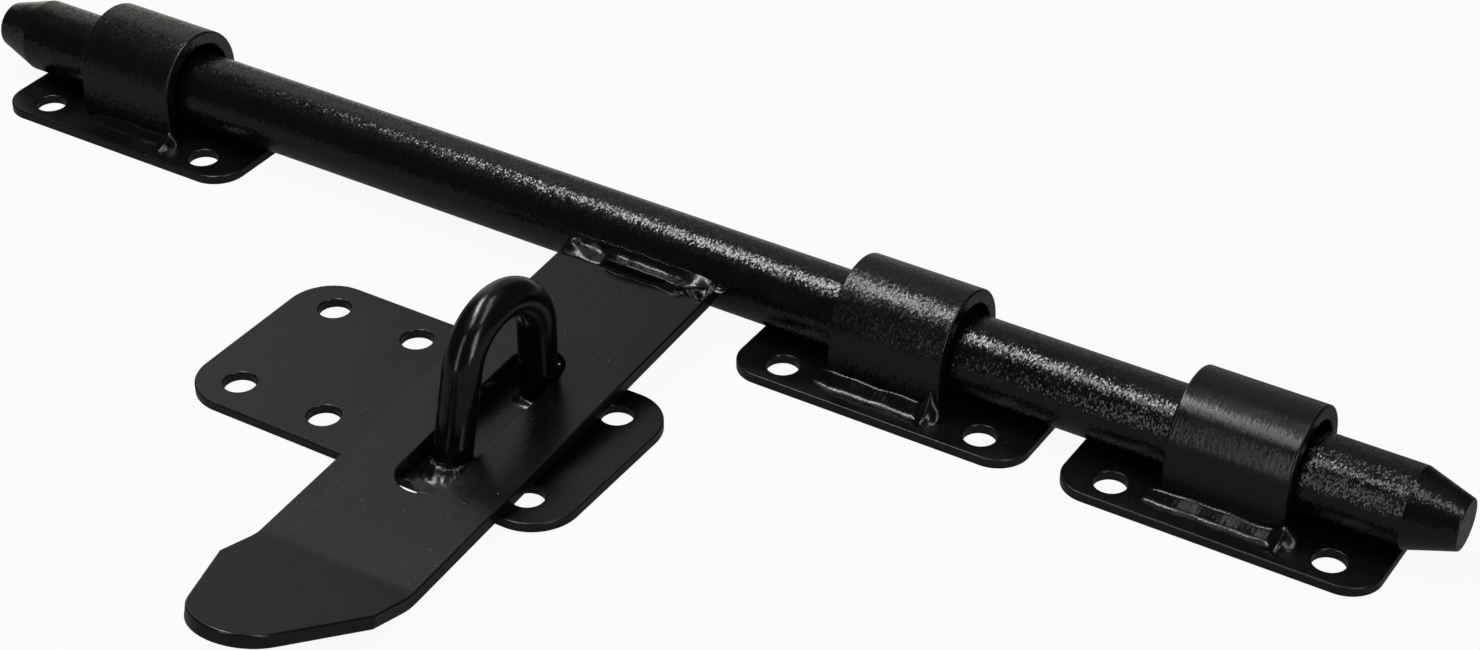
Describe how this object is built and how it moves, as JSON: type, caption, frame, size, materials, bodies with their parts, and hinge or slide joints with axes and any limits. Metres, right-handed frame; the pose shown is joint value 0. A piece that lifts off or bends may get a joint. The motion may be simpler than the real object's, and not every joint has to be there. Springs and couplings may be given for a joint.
{
  "type": "door bolt",
  "caption": "Heavy sliding bar bolt: a round bar in bent saddle guides, with a welded slotted hasp strap over a padlock staple on its own plate.",
  "frame": {"origin": "centre of the middle guide's four holes, on the face that meets the door", "axes": "+X along the bar towards the end that enters the frame, +Z out of the door, the strap reaches out along -Y"},
  "size_m": [0.5365, 0.2501, 0.0515],
  "materials": {
    "bar_enamel": "gloss black enamel over pitted hot-rolled bar",
    "saddle_enamel": "gloss black enamel over bent strip, with faint rolling lines",
    "plate_enamel": "satin black enamel over cut plate, with small specks",
    "strap_enamel": "satin black enamel over flat bar, with small specks",
    "staple_enamel": "gloss black enamel over smooth bent bar",
    "weld_enamel": "gloss black enamel over rippled weld metal"
  },
  "bodies": {
    "guides": {"guide_left_plate": "plate_enamel", "guide_left_saddle": "saddle_enamel", "guide_left_weld_front": "weld_enamel", "guide_left_weld_back": "weld_enamel", "guide_middle_plate": "plate_enamel", "guide_middle_saddle": "saddle_enamel", "guide_middle_weld_front": "weld_enamel", "guide_middle_weld_back": "weld_enamel", "guide_right_plate": "plate_enamel", "guide_right_saddle": "saddle_enamel", "guide_right_weld_front": "weld_enamel", "guide_right_weld_back": "weld_enamel", "staple_plate": "plate_enamel", "staple_loop": "staple_enamel", "staple_weld_front": "weld_enamel", "staple_weld_back": "weld_enamel"},
    "bolt": {"bolt_rod": "bar_enamel"},
    "handle": {"handle_strap": "strap_enamel", "handle_weld_left": "weld_enamel", "handle_weld_middle": "weld_enamel", "handle_weld_right": "weld_enamel"}
  },
  "joints": [
    {"name": "bolt_throw", "type": "slide", "parent": "guides", "child": "bolt", "axis": [1, 0, 0], "range_m": [-0.0005, 0.002]},
    {"name": "handle_lift", "type": "hinge", "parent": "bolt", "child": "handle", "pos_m": [-0.09, 0, 0.0158], "axis": [-1, 0, 0], "range_deg": [0, 180]}
  ]
}
